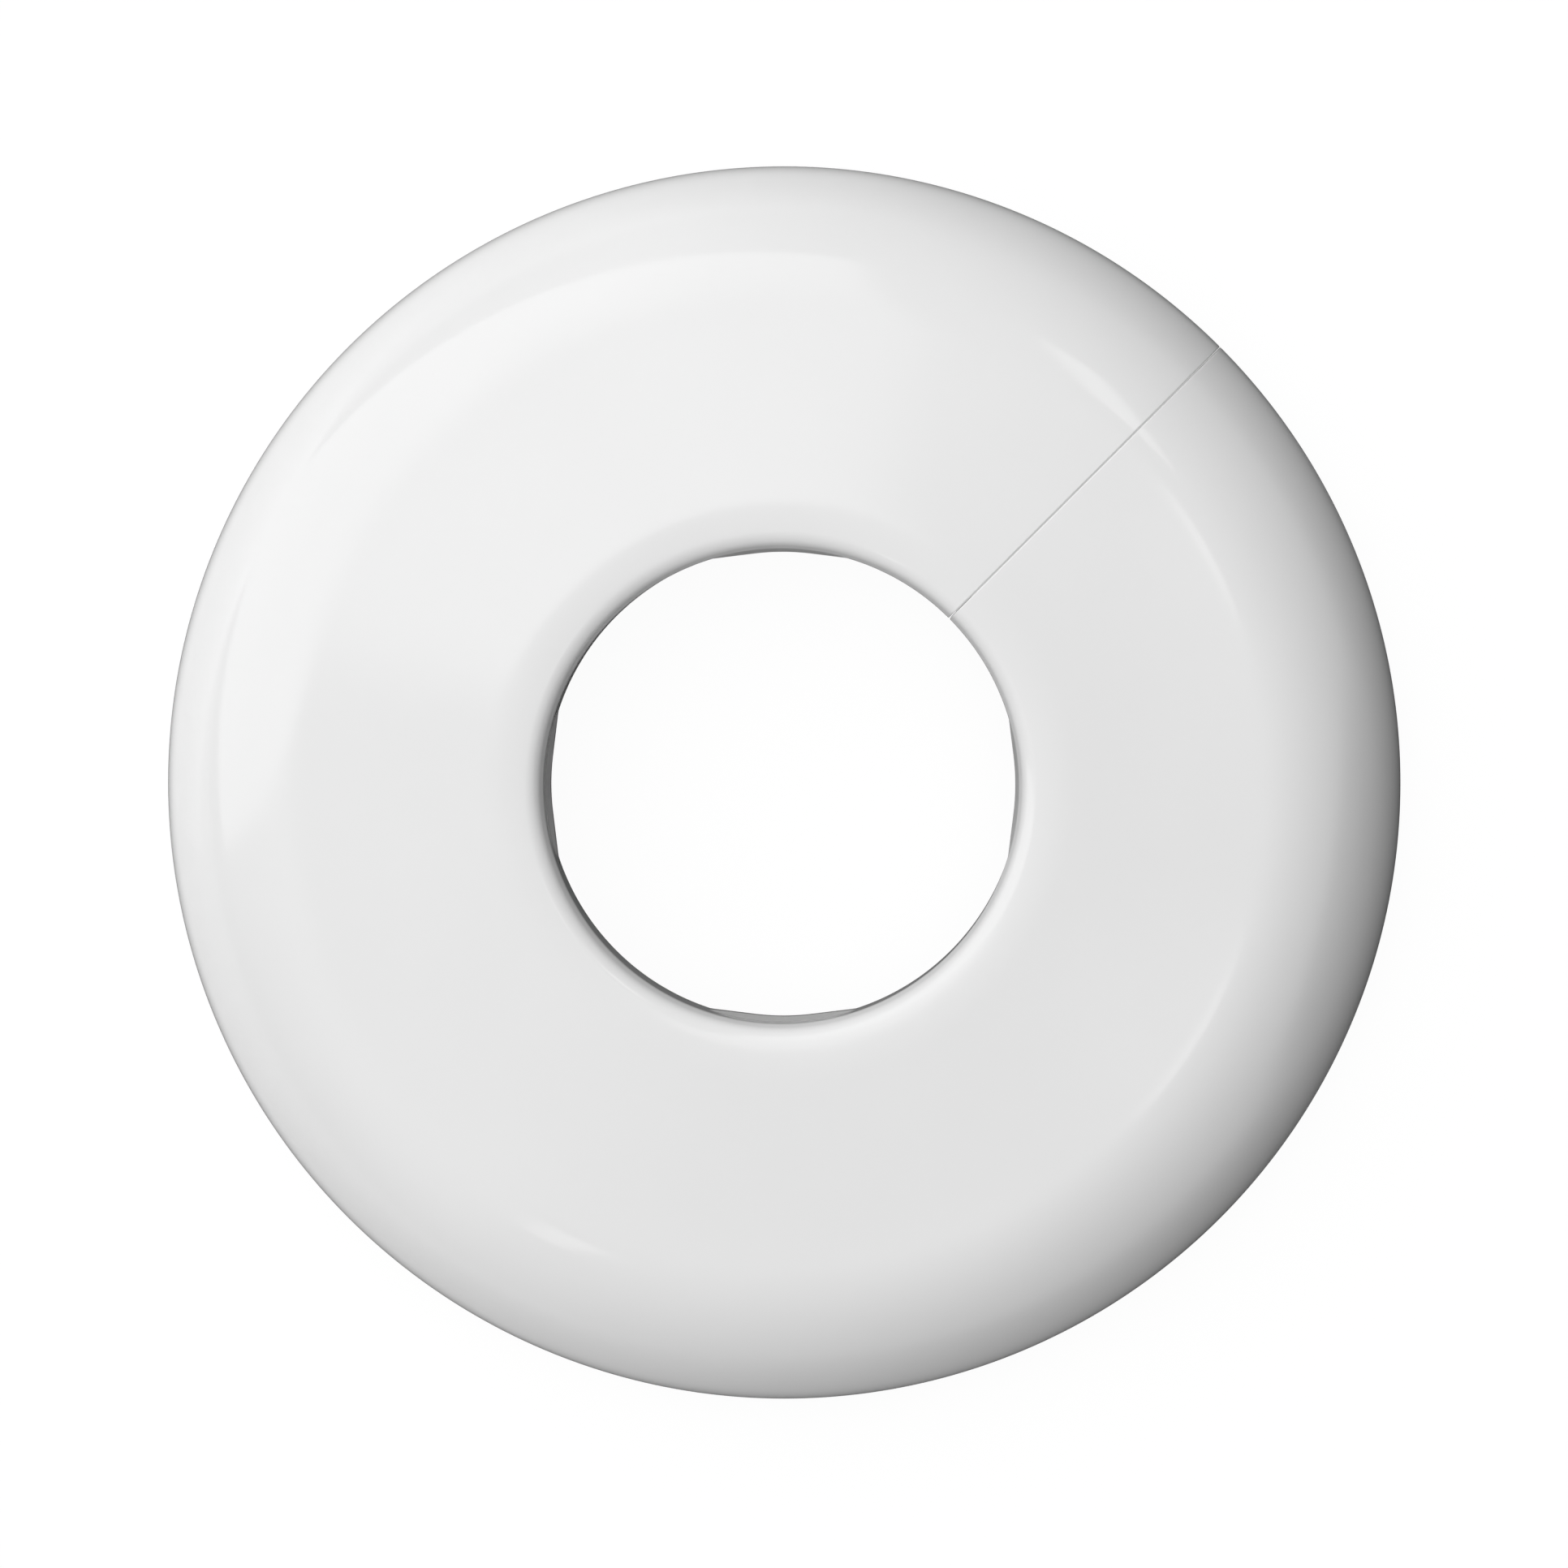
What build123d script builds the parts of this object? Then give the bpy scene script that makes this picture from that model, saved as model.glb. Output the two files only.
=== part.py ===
"""Split pipe collar: one moulded ring that springs open round a pipe and covers its hole in the wall.

The wall plane is z = 0 and the pipe runs along +Z through the origin.
The first grip pad lies on +X, and the slit lies between it and the next one.
"""

import os
from math import atan2, cos, radians, sin, sqrt, tan

from build123d import *

# Driving sizes, in millimetres and degrees
PIPE_DIAMETER = 22.0
BORE_CLEARANCE = 0.2
OUTER_DIAMETER = 58.5
HEIGHT = 9.2
FACE_SLOPE = 5.0
CROWN_INSET = 1.8
MOUTH_WIDTH = 0.33
MOUTH_DEPTH = 0.93
LIP_RADIUS = 0.85
LIP_LAND = 0.05
SKIRT_HEIGHT = 1.25
WALL = 1.5
KNEE_THINNING = 0.2
COLLAR_WALL = 1.4
COLLAR_RECESS = 2.5
PAD_COUNT = 4
PAD_ARC = 14.0
PAD_HEIGHT = 2.0
PAD_LEAD_IN = 0.5
SLIT_ANGLE = 45.0
SLIT_GAP = 0.05
SLIT_EDGE_RADIUS = 0.1

# Radii that follow from the pipe, which the pads just meet, and from the rim
bore_radius = PIPE_DIAMETER / 2 + BORE_CLEARANCE
pad_radius = PIPE_DIAMETER / 2
collar_outside = bore_radius + COLLAR_WALL
outer_radius = OUTER_DIAMETER / 2
skirt_inside = outer_radius - WALL

# From the crown, the highest circle, the front falls at one slope to the bore's mouth and to the rim
slope = radians(FACE_SLOPE)
crown_reach = bore_radius + CROWN_INSET
lip_reach = bore_radius + MOUTH_WIDTH

# The mouth flares out to the lip, whose rounding leaves the rest of that slope to the crown's rounding
lip_turn = atan2(MOUTH_DEPTH, MOUTH_WIDTH) - slope
lip_run = LIP_RADIUS * tan(lip_turn / 2) + LIP_LAND
crown_radius = ((crown_reach - lip_reach) / cos(slope) - lip_run) / tan(slope)
crown_corner = HEIGHT + crown_radius * (1 / cos(slope) - 1)
lip_corner = crown_corner - (crown_reach - lip_reach) * tan(slope)


def face_height(radius):
    """Height of the sloping front face, drawn on past its ends."""
    return crown_corner - (radius - crown_reach) * tan(slope)


def underside_height(radius):
    """Height of the face's back, one wall thickness behind the front."""
    return face_height(radius) - WALL / cos(slope)


# The rim is one rounding, from the face down to the straight skirt
rim_turn = radians(90 - FACE_SLOPE)
rim_radius = (face_height(outer_radius) - SKIRT_HEIGHT) / tan(rim_turn / 2)
rim_centre = outer_radius - rim_radius

# Inside the rim one flat joins the skirt to the face's back, between two knees where the wall is thinnest
even_radius = rim_radius - WALL
knee_reach = sqrt((even_radius + KNEE_THINNING) ** 2 - even_radius**2)
face_knee = rim_centre + even_radius * sin(slope) + knee_reach * cos(slope)


def turned(corners):
    """Solid turned about Z from the corners of its half section, each given with its rounding."""
    with BuildPart() as solid:
        with BuildSketch(Plane.XZ):
            with BuildLine():
                FilletPolyline(
                    [corner for corner, _ in corners],
                    radius=[rounding for _, rounding in corners],
                    close=True,
                )
            make_face()
        revolve(axis=Axis.Z)
    return solid.part


def outer_form():
    """The ring's bore and mouth, lip, crown, sloping face, rounded rim and skirt, still solid at the back."""
    return turned(
        (
            ((bore_radius, 0), 0),
            ((bore_radius, lip_corner - MOUTH_DEPTH), 0),
            ((lip_reach, lip_corner), LIP_RADIUS),
            ((crown_reach, crown_corner), crown_radius),
            ((outer_radius, face_height(outer_radius)), rim_radius),
            ((outer_radius, 0), 0),
        )
    )


def hollow_back():
    """The space behind the face, which leaves a wall all round and a collar set back from the wall plane."""
    return turned(
        (
            ((0, 0), 0),
            ((0, COLLAR_RECESS), 0),
            ((collar_outside, COLLAR_RECESS), 0),
            ((collar_outside, underside_height(collar_outside)), 0),
            ((face_knee, underside_height(face_knee)), 0),
            ((skirt_inside, SKIRT_HEIGHT + knee_reach), 0),
            ((skirt_inside, 0), 0),
        )
    )


def grip_pad():
    """One pad at the collar's back end, on +X: a gripping arc that runs out flat into the bore."""
    root_radius = bore_radius + COLLAR_WALL / 2
    run_out = sqrt(root_radius**2 - pad_radius**2)
    half_arc = PAD_ARC / 2
    with BuildPart() as pad:
        with BuildSketch(Plane.XY.offset(COLLAR_RECESS)):
            with BuildLine():
                grip = CenterArc((0, 0), pad_radius, -half_arc, PAD_ARC)
                upper = PolarLine(grip @ 1, run_out, half_arc + 90)
                lower = PolarLine(grip @ 0, run_out, -half_arc - 90)
                ThreePointArc(upper @ 1, (root_radius, 0), lower @ 1)
            make_face()
        extrude(amount=PAD_HEIGHT)
        with Locations((0, 0, COLLAR_RECESS + PAD_HEIGHT)):
            Cone(
                pad_radius,
                bore_radius,
                PAD_LEAD_IN,
                align=(Align.CENTER, Align.CENTER, Align.MAX),
                mode=Mode.SUBTRACT,
            )
    return pad.part


def split_ring():
    """The whole ring, made with its slit on +X and then turned to bring the first pad there."""
    with BuildPart() as ring:
        add(outer_form())
        Box(
            OUTER_DIAMETER,
            SLIT_GAP,
            2 * HEIGHT,
            align=(Align.MIN, Align.CENTER, Align.CENTER),
            mode=Mode.SUBTRACT,
        )
        slit_sides = ring.faces().filter_by(Axis.Y)
        fillet(slit_sides.edges(), SLIT_EDGE_RADIUS)
        add(hollow_back(), mode=Mode.SUBTRACT)
        with PolarLocations(0, PAD_COUNT, start_angle=-SLIT_ANGLE):
            add(grip_pad())
    return ring.part.rotate(Axis.Z, SLIT_ANGLE)


os.makedirs("parts", exist_ok=True)
export_step(split_ring(), "parts/split_ring.step")
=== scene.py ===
"""Split pipe collar in glossy white plastic, lying on its back as it would lie on a wall.

The wall plane is z = 0 and the pipe would run along +Z through the origin.
"""

import math

import bmesh
import bpy
from mathutils import Matrix, Vector


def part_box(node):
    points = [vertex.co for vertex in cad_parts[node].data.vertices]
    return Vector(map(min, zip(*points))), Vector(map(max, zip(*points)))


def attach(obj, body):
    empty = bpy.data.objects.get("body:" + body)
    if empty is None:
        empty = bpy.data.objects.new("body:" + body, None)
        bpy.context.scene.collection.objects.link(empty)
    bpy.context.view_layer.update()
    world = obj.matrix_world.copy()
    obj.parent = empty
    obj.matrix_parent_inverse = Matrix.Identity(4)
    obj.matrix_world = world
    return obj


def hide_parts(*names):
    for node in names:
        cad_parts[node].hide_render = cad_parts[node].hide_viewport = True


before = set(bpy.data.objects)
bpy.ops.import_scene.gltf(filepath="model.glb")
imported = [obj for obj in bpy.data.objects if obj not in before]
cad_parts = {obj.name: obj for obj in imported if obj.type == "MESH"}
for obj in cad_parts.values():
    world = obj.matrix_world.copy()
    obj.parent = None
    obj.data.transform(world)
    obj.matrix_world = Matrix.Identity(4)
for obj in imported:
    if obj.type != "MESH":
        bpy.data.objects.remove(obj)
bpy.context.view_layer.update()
MM = 0.001


# Split ring: the whole collar, one injection moulding in glossy white plastic with a hollow back.
# Its section is drawn on the XZ plane and turned about the pipe's axis, with the slit on +X at first.
# It springs open at the slit, goes round the pipe and holds itself there by four pads in the bore.
ring_low, ring_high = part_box("split_ring")
bore_radius = 11.2 * MM
outer_radius = (ring_high[0] - ring_low[0]) / 2
ring_height = ring_high[2]
face_slope = math.radians(5.0)
crown_inset = 1.8 * MM
mouth_width = 0.33 * MM
mouth_depth = 0.93 * MM
lip_radius = 0.85 * MM
lip_land = 0.05 * MM
skirt_height = 1.25 * MM
wall = 1.5 * MM
knee_thinning = 0.2 * MM
collar_wall = 1.4 * MM
collar_recess = 2.5 * MM
pad_radius = 11.0 * MM
pad_height = 2.0 * MM
pad_lead_in = 0.5 * MM
pad_half_arc = math.radians(7.0)
pad_count = 4
slit_angle = math.radians(45.0)
slit_gap = 0.05 * MM
edge_rounding = 0.06 * MM
columns = 360
tiny = 1e-7

# The bore's mouth flares out to a rounded lip, and the front rises from there to its crown and then falls
rise = Vector((math.cos(face_slope), 0, math.sin(face_slope)))
fall = Vector((math.cos(face_slope), 0, -math.sin(face_slope)))
flare = Vector((mouth_width, 0, mouth_depth)).normalized()
lip_reach = bore_radius + mouth_width
crown_reach = bore_radius + crown_inset
lip_turn = rise.angle(flare)
lip_tangent = lip_radius * math.tan(lip_turn / 2)
crown_tangent = (crown_reach - lip_reach) / math.cos(face_slope) - lip_tangent - lip_land
crown_radius = crown_tangent / math.tan(face_slope)
crown_height = ring_height + crown_radius * (1 / math.cos(face_slope) - 1)
crown_corner = Vector((crown_reach, 0, crown_height))
crown_centre = Vector((crown_reach, 0, ring_height - crown_radius))
lip_corner = crown_corner - (lip_tangent + lip_land + crown_tangent) * rise
lip_end = lip_corner + lip_tangent * rise
lip_centre = lip_end + lip_radius * Vector((rise.z, 0, -rise.x))
mouth_start = lip_corner - Vector((mouth_width, 0, mouth_depth))


def face_height(radius):
    """Height of the sloping face, drawn on past its ends."""
    return crown_height - (radius - crown_reach) * math.tan(face_slope)


# The rim is one rounding, from the face down to the straight skirt
rim_turn = math.pi / 2 - face_slope
rim_radius = (face_height(outer_radius) - skirt_height) / math.tan(rim_turn / 2)
rim_centre = Vector((outer_radius - rim_radius, 0, skirt_height))
rim_start = rim_centre + rim_radius * Vector((math.sin(face_slope), 0, math.cos(face_slope)))

# Inside the rim one flat joins the skirt to the face's back, between two knees
even_radius = rim_radius - wall
knee_reach = math.sqrt((even_radius + knee_thinning) ** 2 - even_radius**2)
skirt_inside = outer_radius - wall
face_knee = rim_centre.x + even_radius * math.sin(face_slope) + knee_reach * math.cos(face_slope)
collar_outside = bore_radius + collar_wall


def underside(radius):
    """Point of the section on the face's back, one wall behind the front."""
    return Vector((radius, 0, face_height(radius) - wall / math.cos(face_slope)))


def draw_to(pen, point, rows=1):
    """Extrudes the section's last corner to a new one in equal rows, and returns where it now is."""
    step = (point - pen) / rows
    for _ in range(rows):
        bpy.ops.mesh.extrude_region_move(TRANSFORM_OT_translate={"value": step})
    return point


def draw_arc(centre, turn, rows, end):
    """Spins the section's last corner clockwise round a centre, and returns where it now is."""
    bpy.ops.mesh.spin(steps=rows, angle=turn, center=centre, axis=(0, -1, 0))
    return end


def select_where(piece, chosen):
    """Selects the vertices of the piece in edit mode whose place the test accepts."""
    bpy.ops.mesh.select_all(action="DESELECT")
    shape = bmesh.from_edit_mesh(piece.data)
    for vertex in shape.verts:
        vertex.select = chosen(vertex.co)
    shape.select_flush_mode()
    bmesh.update_edit_mesh(piece.data)


# The section, drawn from the collar's end up the bore, over the lip, face and rim, and back behind them
bpy.ops.object.select_all(action="DESELECT")
collar_end = Vector((bore_radius, 0, collar_recess))
bpy.ops.mesh.primitive_plane_add(size=wall, location=collar_end)
ring = bpy.context.object
ring.name = ring.data.name = "glossy_split_ring"
bpy.ops.object.transform_apply(location=True, rotation=False, scale=False)
bpy.ops.object.mode_set(mode="EDIT")
bpy.ops.mesh.merge(type="CENTER")
pen = draw_to(collar_end, collar_end + Vector((0, 0, pad_height - pad_lead_in)), 3)
pen = draw_to(pen, pen + Vector((0, 0, pad_lead_in)))
pen = draw_to(pen, mouth_start, 4)
pen = draw_to(pen, lip_corner - lip_tangent * flare, 3)
pen = draw_arc(lip_centre, lip_turn, 20, lip_end)
pen = draw_to(pen, crown_corner - crown_tangent * rise)
pen = draw_arc(crown_centre, 2 * face_slope, 10, crown_corner + crown_tangent * fall)
pen = draw_to(pen, rim_start, 24)
pen = draw_arc(rim_centre, rim_turn, 40, Vector((outer_radius, 0, skirt_height)))
pen = draw_to(pen, Vector((outer_radius, 0, 0)), 3)
pen = draw_to(pen, Vector((skirt_inside, 0, 0)))
pen = draw_to(pen, Vector((skirt_inside, 0, skirt_height + knee_reach)), 3)
pen = draw_to(pen, underside(face_knee), 3)
pen = draw_to(pen, underside(collar_outside), 8)
pen = draw_to(pen, Vector((collar_outside, 0, collar_recess)), 3)
pen = draw_to(pen, collar_end)
bpy.ops.mesh.select_all(action="SELECT")
bpy.ops.mesh.remove_doubles(threshold=tiny)
bpy.ops.mesh.edge_face_add()

# One full turn leaves both ends of the ring on +X, and they are drawn apart by the slit's gap
bpy.ops.mesh.spin(steps=columns, angle=2 * math.pi, center=(0, 0, 0), axis=(0, 0, -1), use_auto_merge=False)
bpy.ops.transform.translate(value=(0, -slit_gap / 2, 0))
select_where(ring, lambda place: place.x > 0 and abs(place.y) < tiny)
bpy.ops.transform.translate(value=(0, slit_gap / 2, 0))

# A cut close beside each end keeps the shading of the ends' eased edges off the front next to them
end_cut = slit_gap / 2 + 1.5 * edge_rounding
column_step = 2 * math.pi / columns
for cut in (end_cut, -end_cut):
    select_where(ring, lambda place: abs(math.atan2(place.y, place.x)) < 1.5 * column_step)
    bpy.ops.mesh.bisect(plane_co=(0, cut, 0), plane_no=(0, 1, 0), threshold=tiny)

# The pads: an arc of the bore's back end drawn in to the pipe, running out flat to both sides
pad_step = 2 * math.pi / pad_count
run_out = pad_half_arc + math.acos(pad_radius / bore_radius)


def off_pad(place):
    """Angle between a place and the middle of the nearest pad, with the slit halfway between two pads."""
    return abs(math.atan2(place.y, place.x) % pad_step - pad_step / 2)


ramp_start = collar_recess + pad_height - pad_lead_in
for column in range(math.ceil(run_out / column_step)):
    away = column * column_step
    reach = pad_radius / math.cos(max(0, away - pad_half_arc))
    lift = pad_lead_in * (reach - pad_radius) / (bore_radius - pad_radius)
    select_where(
        ring,
        lambda place: place.z < ramp_start + tiny
        and place.xy.length < bore_radius + tiny
        and abs(off_pad(place) - away) < column_step / 4,
    )
    drawn_in = reach / bore_radius
    bpy.ops.transform.resize(value=(drawn_in, drawn_in, 1), center_override=(0, 0, 0))
    select_where(
        ring,
        lambda place: abs(place.z - ramp_start) < tiny
        and place.xy.length < bore_radius - tiny
        and abs(off_pad(place) - away) < column_step / 4,
    )
    bpy.ops.transform.translate(value=(0, 0, lift))

bpy.ops.mesh.select_all(action="SELECT")
bpy.ops.mesh.normals_make_consistent(inside=False)
bpy.ops.object.mode_set(mode="OBJECT")

# Every sharp edge of a moulding is eased a little
easing = ring.modifiers.new("eased_edges", "BEVEL")
easing.width = edge_rounding
easing.segments = 3
easing.limit_method = "ANGLE"
easing.angle_limit = math.radians(50)
bpy.ops.object.modifier_apply(modifier=easing.name)
ring.rotation_euler.z = slit_angle
bpy.ops.object.transform_apply(location=False, rotation=True, scale=False)
bpy.ops.object.shade_smooth_by_angle(angle=math.radians(35))

# White plastic moulded in its colour: a polished mould leaves a gloss with a very faint waviness
plastic = bpy.data.materials.new("glossy_white_plastic")
plastic.use_nodes = True
nodes = plastic.node_tree.nodes
links = plastic.node_tree.links
shader = nodes["Principled BSDF"]
shader.inputs["IOR"].default_value = 1.5
place = nodes.new("ShaderNodeTexCoord")

mottling = nodes.new("ShaderNodeTexNoise")
mottling.inputs["Scale"].default_value = 90.0
mottling.inputs["Detail"].default_value = 4.0
links.new(place.outputs["Object"], mottling.inputs["Vector"])

tint = nodes.new("ShaderNodeValToRGB")
tint.color_ramp.elements[0].position = 0.3
tint.color_ramp.elements[0].color = (0.815, 0.815, 0.815, 1)
tint.color_ramp.elements[1].position = 0.7
tint.color_ramp.elements[1].color = (0.83, 0.83, 0.83, 1)
links.new(mottling.outputs["Fac"], tint.inputs["Fac"])
links.new(tint.outputs["Color"], shader.inputs["Base Color"])


def fade(tree, value, start, end, low=0.0, high=1.0, shape="LINEAR"):
    """Adds a node that takes a value from low at the start to high at the end, and returns its socket."""
    node = tree.nodes.new("ShaderNodeMapRange")
    node.interpolation_type = shape
    node.inputs["From Min"].default_value = start
    node.inputs["From Max"].default_value = end
    node.inputs["To Min"].default_value = low
    node.inputs["To Max"].default_value = high
    tree.links.new(value, node.inputs["Value"])
    return node.outputs["Result"]


gloss = fade(plastic.node_tree, mottling.outputs["Fac"], 0.3, 0.7, low=0.09, high=0.13)
links.new(gloss, shader.inputs["Roughness"])
ring.data.materials.append(plastic)

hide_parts("split_ring")
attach(ring, "root")


# Floor: a pale sheet, white where no shadow falls on it; the colour that throws light back on the ring has
# painted shade.
# The light that it throws back on the ring is set apart from the white that the camera sees.
bpy.ops.object.select_all(action="DESELECT")
bpy.ops.mesh.primitive_plane_add(size=6.0, location=(0, 0, 0))
floor = bpy.context.object
floor.name = "floor"
paper = bpy.data.materials.new("pale_paper_with_painted_shade")
paper.use_nodes = True
nodes = paper.node_tree.nodes
links = paper.node_tree.links
nodes.remove(nodes["Principled BSDF"])
floor_rays = nodes.new("ShaderNodeLightPath")


def multiplied(tree, first, second):
    """Adds a node that multiplies two values, and returns its socket."""
    node = tree.nodes.new("ShaderNodeMath")
    node.operation = "MULTIPLY"
    tree.links.new(first, node.inputs[0])
    tree.links.new(second, node.inputs[1])
    return node.outputs["Value"]


def along(tree, place, way):
    """Adds a node that measures how far a place lies along a direction, and returns its socket."""
    node = tree.nodes.new("ShaderNodeVectorMath")
    node.operation = "DOT_PRODUCT"
    node.inputs[1].default_value = way
    tree.links.new(place, node.inputs[0])
    return node.outputs["Value"]


# Painted shade: the colour throws back most light on the softbox's side, none on the other, and is painted
# dark in the bore and by the foot
bright_azimuth = math.radians(168)
bright_way = Vector((math.cos(bright_azimuth), math.sin(bright_azimuth), 0))
bright_half_width = 35 * MM
foot_shadow = 2.5 * MM
spot = nodes.new("ShaderNodeTexCoord")
softbox_side = along(paper.node_tree, spot.outputs["Object"], bright_way)
# Painted side shade: the sheet's colour fades to black away from the softbox
painted_side_shade = fade(paper.node_tree, softbox_side, -bright_half_width, bright_half_width, high=0.95)
off_axis = nodes.new("ShaderNodeVectorMath")
off_axis.operation = "LENGTH"
links.new(spot.outputs["Object"], off_axis.inputs[0])
# Painted shadow: black under the ring and in its bore, fading out over foot_shadow beyond the foot
painted_shade_by_ring = fade(paper.node_tree, off_axis.outputs["Value"], outer_radius, outer_radius + foot_shadow)
painted_shade_paleness = multiplied(paper.node_tree, painted_side_shade, painted_shade_by_ring)
sheet = nodes.new("ShaderNodeBsdfPrincipled")
sheet.inputs["Roughness"].default_value = 0.06
links.new(painted_shade_paleness, sheet.inputs["Base Color"])

# Mirrored in the ring it glows lighter, with painted shade: the glow fades out toward the ring, where the
# ring keeps light off it
mirrored = nodes.new("ShaderNodeMath")
mirrored.operation = "MAXIMUM"
links.new(floor_rays.outputs["Is Glossy Ray"], mirrored.inputs[0])
links.new(floor_rays.outputs["Is Transmission Ray"], mirrored.inputs[1])
# Painted shade in reflections: the glow is zero at the ring's edge and rises further out
glow_past_painted_shade = fade(paper.node_tree, off_axis.outputs["Value"], outer_radius, 3 * outer_radius, high=0.3)
lightened = multiplied(paper.node_tree, glow_past_painted_shade, mirrored.outputs["Value"])
mirror_glow = nodes.new("ShaderNodeEmission")
links.new(painted_shade_paleness, mirror_glow.inputs["Color"])
links.new(lightened, mirror_glow.inputs["Strength"])
unseen_sheet = nodes.new("ShaderNodeAddShader")
links.new(sheet.outputs["BSDF"], unseen_sheet.inputs[0])
links.new(mirror_glow.outputs["Emission"], unseen_sheet.inputs[1])

# The camera sees it white with a faint shadow, and grey through the slit, where painted shade under the ring
# stands in for the ring's shadow
covered_from = bore_radius + 0.3 * MM
painted_shade_under_ring = nodes.new("ShaderNodeMath")
painted_shade_under_ring.operation = "COMPARE"
painted_shade_under_ring.inputs[1].default_value = (outer_radius + covered_from) / 2
painted_shade_under_ring.inputs[2].default_value = (outer_radius - covered_from) / 2
links.new(off_axis.outputs["Value"], painted_shade_under_ring.inputs[0])
# Painted shade: the white drops to grey under the ring
white_with_painted_shade = fade(paper.node_tree, painted_shade_under_ring.outputs["Value"], 0, 1, low=0.95, high=0.55)
white_glow = nodes.new("ShaderNodeEmission")
links.new(white_with_painted_shade, white_glow.inputs["Strength"])
white_matt = nodes.new("ShaderNodeBsdfDiffuse")
white_matt.inputs["Color"].default_value = (0.06, 0.06, 0.06, 1)
white_paper = nodes.new("ShaderNodeAddShader")
links.new(white_matt.outputs["BSDF"], white_paper.inputs[0])
links.new(white_glow.outputs["Emission"], white_paper.inputs[1])
in_picture = nodes.new("ShaderNodeMixShader")
links.new(floor_rays.outputs["Is Camera Ray"], in_picture.inputs["Fac"])
links.new(unseen_sheet.outputs["Shader"], in_picture.inputs[1])
links.new(white_paper.outputs["Shader"], in_picture.inputs[2])
links.new(in_picture.outputs["Shader"], nodes["Material Output"].inputs["Surface"])
floor.data.materials.append(paper)


# Studio light: one large softbox high on the left, and a pale room that is dark low down on two sides.
softbox_distance = 1.0
softbox_way = Vector((-0.57, 0.37, 0.735)).normalized()
softbox_across = Vector((0.8177, 0.1643, 0.5515)).normalized()
softbox_up = softbox_way.cross(softbox_across)
softbox_shift = -0.13 * softbox_across + 0.09 * softbox_up
bpy.ops.object.light_add(type="AREA")
softbox = bpy.context.object
softbox.name = "softbox"
softbox.data.shape = "RECTANGLE"
softbox.data.size = 1.86 * softbox_distance
softbox.data.size_y = 1.05 * softbox_distance
softbox.data.energy = 8.7
softbox_place = softbox_distance * (softbox_way + softbox_shift)
softbox_turn = Matrix((softbox_across, softbox_up, softbox_way)).transposed()
softbox.matrix_world = Matrix.Translation(softbox_place) @ softbox_turn.to_4x4()

# Four small lamps overhead give the glints where the face turns down into the rim
for lamp_x, lamp_y, lamp_length, lamp_width, lamp_turn, lamp_radiance in (
    (0.222, 0.108, 0.085, 0.075, 26, 2.0),
    (0.217, -0.169, 0.085, 0.10, -38, 2.2),
    (0.40, 0.50, 0.35, 0.14, 71, 1.8),
    (-0.28, -0.55, 0.28, 0.07, 55, 1.6),
):
    bpy.ops.object.light_add(type="AREA", location=(lamp_x, lamp_y, softbox_distance))
    lamp = bpy.context.object
    lamp.name = "glint_lamp"
    lamp.rotation_euler.z = math.radians(lamp_turn)
    lamp.data.shape = "RECTANGLE"
    lamp.data.size = lamp_length
    lamp.data.size_y = lamp_width
    lamp.data.energy = lamp_radiance * math.pi * lamp_length * lamp_width

# The room is dark low on the softbox's side, which the softbox lights, and low on the other side
room = bpy.data.worlds.new("pale_room")
room.use_nodes = True
nodes = room.node_tree.nodes
links = room.node_tree.links
way = nodes.new("ShaderNodeTexCoord")
across = along(room.node_tree, way.outputs["Generated"], bright_way)
left_part = fade(room.node_tree, across, 0.32, 0.87, low=0.875, high=0.0, shape="SMOOTHSTEP")
right_part = fade(room.node_tree, across, -0.62, -0.40, shape="SMOOTHSTEP")

# Mirrored in the ring its right side is pale further down
right_mirrored = fade(room.node_tree, across, -0.98, -0.90, shape="SMOOTHSTEP")
room_rays = nodes.new("ShaderNodeLightPath")
right_side = nodes.new("ShaderNodeMix")
links.new(room_rays.outputs["Is Glossy Ray"], right_side.inputs["Factor"])
links.new(right_part, right_side.inputs["A"])
links.new(right_mirrored, right_side.inputs["B"])
brightness = multiplied(room.node_tree, left_part, right_side.outputs["Result"])
links.new(brightness, nodes["Background"].inputs["Strength"])
nodes["Background"].inputs["Color"].default_value = (1, 1, 1, 1)
bpy.context.scene.world = room


# Camera: far above the collar, a little to the upper right of the pipe's axis.
picture_side = 1932
ring_in_picture = 2 * 759.3
camera_distance = 1.0
camera_tilt = math.radians(1.85)
camera_toward = Vector((0.65, 0.76, 0)).normalized()
look_back = math.sin(camera_tilt) * camera_toward + Vector((0, 0, math.cos(camera_tilt)))
camera_up = Vector((0, 1, 0))
camera_right = camera_up.cross(look_back).normalized()
camera_up = look_back.cross(camera_right)
frame_width = 2 * outer_radius * picture_side / ring_in_picture
aim_drop = 0.056 * MM
aim = Vector((0, -aim_drop, skirt_height))
bpy.ops.object.camera_add()
camera = bpy.context.object
camera.data.sensor_width = 36
camera.data.lens = camera.data.sensor_width * camera_distance / frame_width
camera_turn = Matrix((camera_right, camera_up, look_back)).transposed()
camera.matrix_world = Matrix.Translation(aim + camera_distance * look_back) @ camera_turn.to_4x4()
bpy.context.scene.camera = camera
bpy.context.scene.view_settings.view_transform = "Standard"
